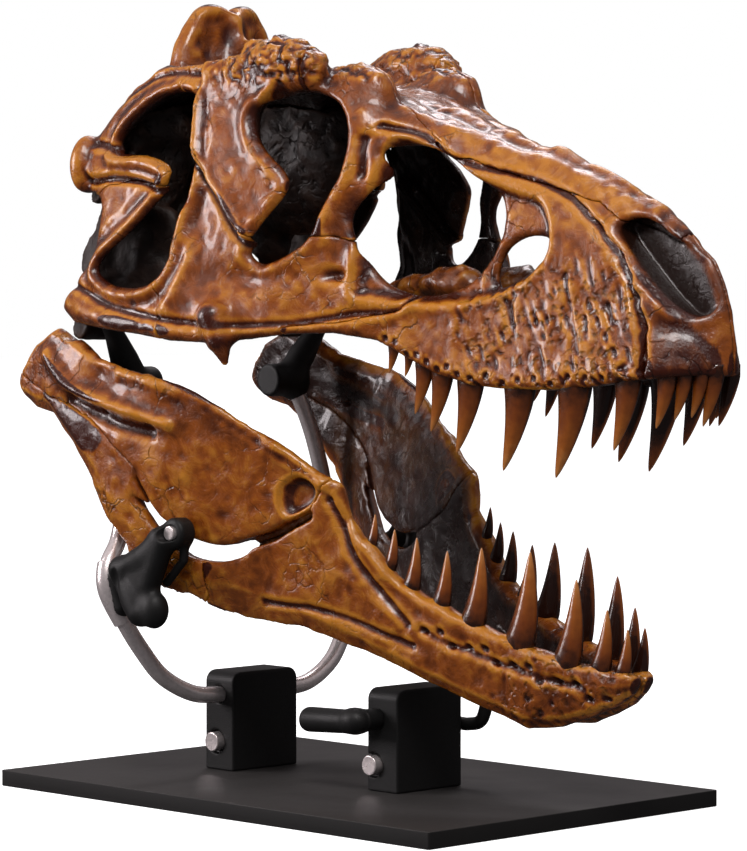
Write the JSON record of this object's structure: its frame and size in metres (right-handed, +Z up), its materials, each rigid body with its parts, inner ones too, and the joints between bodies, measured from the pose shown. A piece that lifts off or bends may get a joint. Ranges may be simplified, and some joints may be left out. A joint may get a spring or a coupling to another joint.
{
  "type": "tyrannosaur skull fossil on a museum stand",
  "caption": "Life-size skull of a large tyrannosaur with its jaws held open on a steel stand with a base plate, posts, a bent tube and clamps.",
  "frame": {"origin": "middle of the underside of the stand's base plate", "axes": "+X towards the snout, +Y to the animal's left, +Z up"},
  "size_m": [1.4837, 0.74, 1.462],
  "materials": {
    "fossil_bone": "mineralised bone, amber brown, varnished",
    "deep_bone": "mineralised bone, dark brown, varnished",
    "black_steel": "fine-grained matte black paint",
    "base_plate": "satin charcoal paint",
    "bright_steel": "polished",
    "rubber": "matte"
  },
  "bodies": {
    "root": {"angular_left": "fossil_bone", "angular_right": "fossil_bone", "braincase": "deep_bone", "dentary_left": "fossil_bone", "dentary_right": "fossil_bone", "jugal_left": "fossil_bone", "jugal_right": "fossil_bone", "lacrimal_left": "fossil_bone", "lacrimal_right": "fossil_bone", "maxilla_left": "fossil_bone", "maxilla_right": "fossil_bone", "nasal": "fossil_bone", "palate": "deep_bone", "postorbital_left": "fossil_bone", "postorbital_right": "fossil_bone", "premaxilla_left": "fossil_bone", "premaxilla_right": "fossil_bone", "quadrate_left": "deep_bone", "quadrate_right": "deep_bone", "quadratojugal_left": "fossil_bone", "quadratojugal_right": "fossil_bone", "skull_roof": "fossil_bone", "squamosal_left": "fossil_bone", "squamosal_right": "fossil_bone", "stand_base": "base_plate", "stand_bolt_front": "bright_steel", "stand_bolt_rear": "bright_steel", "stand_hoop_left": "bright_steel", "stand_hoop_right": "bright_steel", "stand_jaw_bolt_left": "bright_steel", "stand_jaw_bolt_right": "bright_steel", "stand_jaw_clamp_left": "black_steel", "stand_jaw_clamp_right": "black_steel", "stand_jaw_pad": "rubber", "stand_jaw_rest": "bright_steel", "stand_lever": "black_steel", "stand_post_front": "black_steel", "stand_post_rear": "black_steel", "stand_skull_clamp_left": "black_steel", "stand_skull_clamp_right": "black_steel", "stand_sleeve_left": "bright_steel", "stand_sleeve_right": "bright_steel", "surangular_left": "fossil_bone", "surangular_right": "fossil_bone"}
  },
  "joints": []
}
